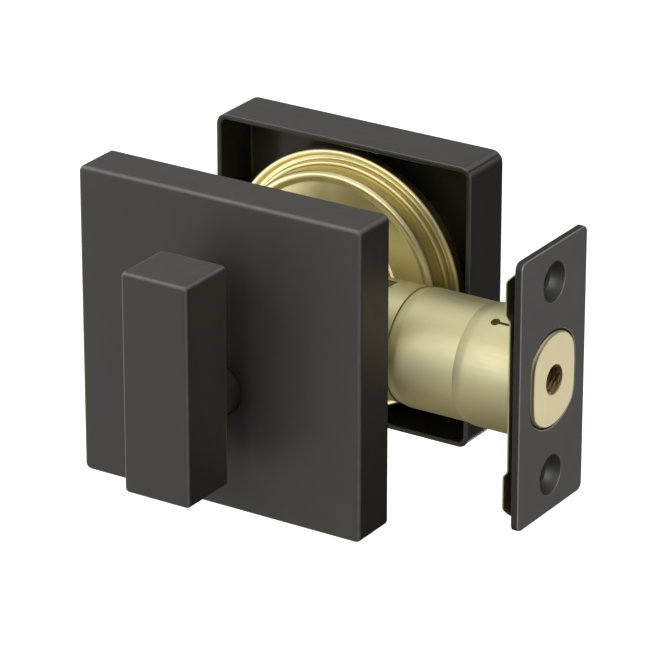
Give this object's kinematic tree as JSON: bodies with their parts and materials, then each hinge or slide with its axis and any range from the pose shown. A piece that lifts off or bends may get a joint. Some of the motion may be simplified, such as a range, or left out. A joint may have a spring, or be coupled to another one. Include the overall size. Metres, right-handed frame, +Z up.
{
  "type": "deadbolt door lock",
  "caption": "Square deadbolt: thumbturn rose, keyed rose, stepped brass adapter and tubular latch whose bolt slides out as the bar turns.",
  "frame": {"origin": "where the bolt's axis crosses the spindle's plane, in the middle of the door's thickness: the centre of the door's cross bore", "axes": "+X along the bolt to the door's edge, -Y to the inside of the house and the thumbturn, +Z up"},
  "size_m": [0.094, 0.0896, 0.0665],
  "materials": {
    "dark_finish": "satin dark bronze, nearly black",
    "yellow_zinc": "yellow zinc plate, satin",
    "zinc_case": "die-cast zinc, yellow plated",
    "satin_brass": "satin brass plate, turned",
    "bolt_brass": "satin brass, fine grain",
    "cylinder_brass": "machined brass",
    "plug_brass": "machined brass, polished face",
    "steel": "bright zinc plated steel",
    "black_steel": "black oxide steel",
    "nylon": "moulded nylon"
  },
  "bodies": {
    "lock": {"inner_rose": "dark_finish", "hub_bushing": "nylon", "friction_washer": "steel", "inner_mount_plate": "yellow_zinc", "rose_set_screw": "black_steel", "through_screws": "yellow_zinc", "outer_rose": "dark_finish", "bore_adapter": "satin_brass", "screw_posts": "steel", "cylinder_guard": "dark_finish", "cylinder_housing": "cylinder_brass", "driver_pins": "steel", "pin_springs": "steel", "chamber_cover": "cylinder_brass", "case_half_inner": "zinc_case", "case_half_outer": "zinc_case", "case_rivets": "yellow_zinc", "latch_tube": "yellow_zinc", "latch_sleeve": "yellow_zinc", "detent_spring": "black_steel", "backing_plate": "yellow_zinc", "faceplate": "dark_finish"},
    "thumbturn": {"thumbturn_bar": "dark_finish", "thumbturn_hub": "dark_finish", "retaining_clip": "steel", "tailpiece": "steel", "tailpiece_dog": "steel"},
    "cam": {"cam": "zinc_case"},
    "bolt": {"bolt": "bolt_brass", "bolt_roller": "steel", "bolt_tail": "yellow_zinc", "tail_rivet": "steel"},
    "plug": {"key_plug": "plug_brass", "key_pins": "plug_brass", "plug_driver": "steel", "plug_clip": "black_steel"}
  },
  "joints": [
    {"name": "thumbturn_turn", "type": "hinge", "parent": "lock", "child": "thumbturn", "pos_m": [0, 0, -0.006], "axis": [0, 1, 0], "range_deg": [0, 90]},
    {"name": "cam_turn", "type": "hinge", "parent": "lock", "child": "cam", "pos_m": [0, 0, -0.006], "axis": [0, 1, 0], "range_deg": [0, 90]},
    {"name": "bolt_throw", "type": "slide", "parent": "lock", "child": "bolt", "axis": [1, 0, 0], "range_m": [0, 0.0254]},
    {"name": "plug_turn", "type": "hinge", "parent": "lock", "child": "plug", "pos_m": [0, 0, -0.006], "axis": [0, 1, 0], "range_deg": [0, 90]}
  ],
  "couplings": [
    {"joint": "cam_turn", "follows": "thumbturn_turn", "ratio": 1},
    {"joint": "bolt_throw", "follows": "thumbturn_turn", "m_per_rad": 0.01617}
  ]
}
